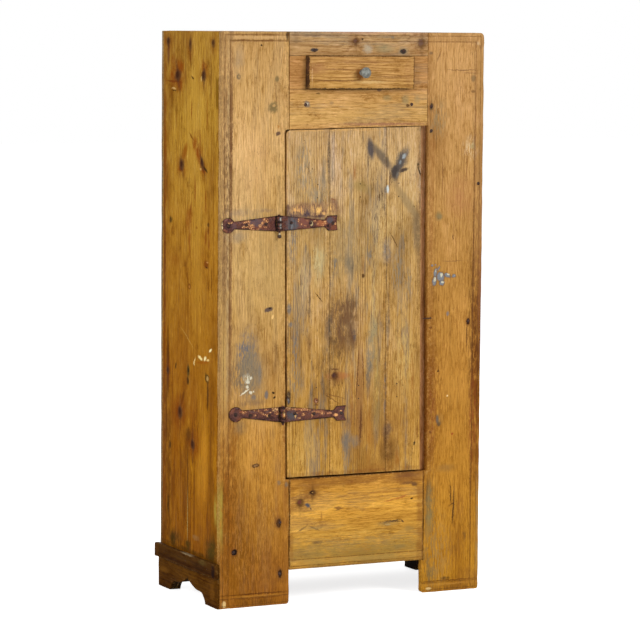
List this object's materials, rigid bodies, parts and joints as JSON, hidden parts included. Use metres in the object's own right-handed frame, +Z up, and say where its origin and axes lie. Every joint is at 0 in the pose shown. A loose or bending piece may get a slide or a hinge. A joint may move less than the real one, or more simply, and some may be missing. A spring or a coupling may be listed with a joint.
{
  "type": "jelly cupboard",
  "caption": "Country jelly cupboard in aged pine with a strap-hinged plank door, a small drawer, an apron panel and bracket feet.",
  "frame": {"origin": "on the floor at the middle of the whole outline", "axes": "+Z up, +Y towards the back, +X to the right when facing the door"},
  "size_m": [0.8018, 0.464, 1.52],
  "materials": {
    "front_pine": "aged and worn, softly waxed",
    "side_pine": "aged and worn, softly waxed",
    "door_pine": "weathered, nearly matt",
    "apron_pine": "weathered, nearly matt",
    "inside_pine": "bare, matt",
    "dark_pine": "darkened, matt",
    "rusty_iron": "rusted, matt",
    "nail_iron": "dark, matt",
    "knob_metal": "dull, handled"
  },
  "bodies": {
    "carcass": {"back_nails": "nail_iron", "back_plank_1": "inside_pine", "back_plank_2": "inside_pine", "back_plank_3": "inside_pine", "back_plank_4": "inside_pine", "base_nails": "nail_iron", "bent_nail": "nail_iron", "door_stop": "inside_pine", "floor_board": "inside_pine", "frame_leaf_nails": "nail_iron", "frame_nails": "nail_iron", "left_apron_cleat": "inside_pine", "left_base_batten": "dark_pine", "left_base_facing": "dark_pine", "left_drawer_filler": "front_pine", "left_drawer_kicker": "inside_pine", "left_drawer_runner": "inside_pine", "left_floor_cleat": "inside_pine", "left_lower_shelf_cleat": "inside_pine", "left_side_board": "side_pine", "left_stile": "front_pine", "left_upper_shelf_cleat": "inside_pine", "lower_hinge_frame_leaf": "rusty_iron", "lower_hinge_pin": "rusty_iron", "lower_panel": "apron_pine", "lower_rail": "front_pine", "lower_shelf": "inside_pine", "right_apron_cleat": "inside_pine", "right_base_batten": "dark_pine", "right_base_facing": "dark_pine", "right_drawer_filler": "front_pine", "right_drawer_kicker": "inside_pine", "right_drawer_runner": "inside_pine", "right_floor_cleat": "inside_pine", "right_lower_shelf_cleat": "inside_pine", "right_side_board": "side_pine", "right_stile": "front_pine", "right_upper_shelf_cleat": "inside_pine", "top_board": "inside_pine", "upper_hinge_frame_leaf": "rusty_iron", "upper_hinge_pin": "rusty_iron", "upper_rail": "front_pine", "upper_shelf": "inside_pine"},
    "door": {"left_door_plank": "door_pine", "middle_door_plank": "door_pine", "right_door_plank": "door_pine", "lower_door_batten": "inside_pine", "upper_door_batten": "inside_pine", "batten_nails": "nail_iron", "upper_hinge_door_leaf": "rusty_iron", "lower_hinge_door_leaf": "rusty_iron", "door_leaf_nails": "nail_iron"},
    "drawer": {"drawer_front": "front_pine", "drawer_left_side": "inside_pine", "drawer_right_side": "inside_pine", "drawer_bottom": "inside_pine", "drawer_back": "inside_pine", "drawer_knob": "knob_metal", "knob_screw": "nail_iron"}
  },
  "joints": [
    {"name": "door_hinge", "type": "hinge", "parent": "carcass", "child": "door", "pos_m": [-0.22401, -0.189, 1.017], "axis": [0.0276, 0, -0.9996], "range_deg": [0, 170]},
    {"name": "drawer_slide", "type": "slide", "parent": "carcass", "child": "drawer", "axis": [0, -1, 0], "range_m": [0, 0.25]}
  ]
}
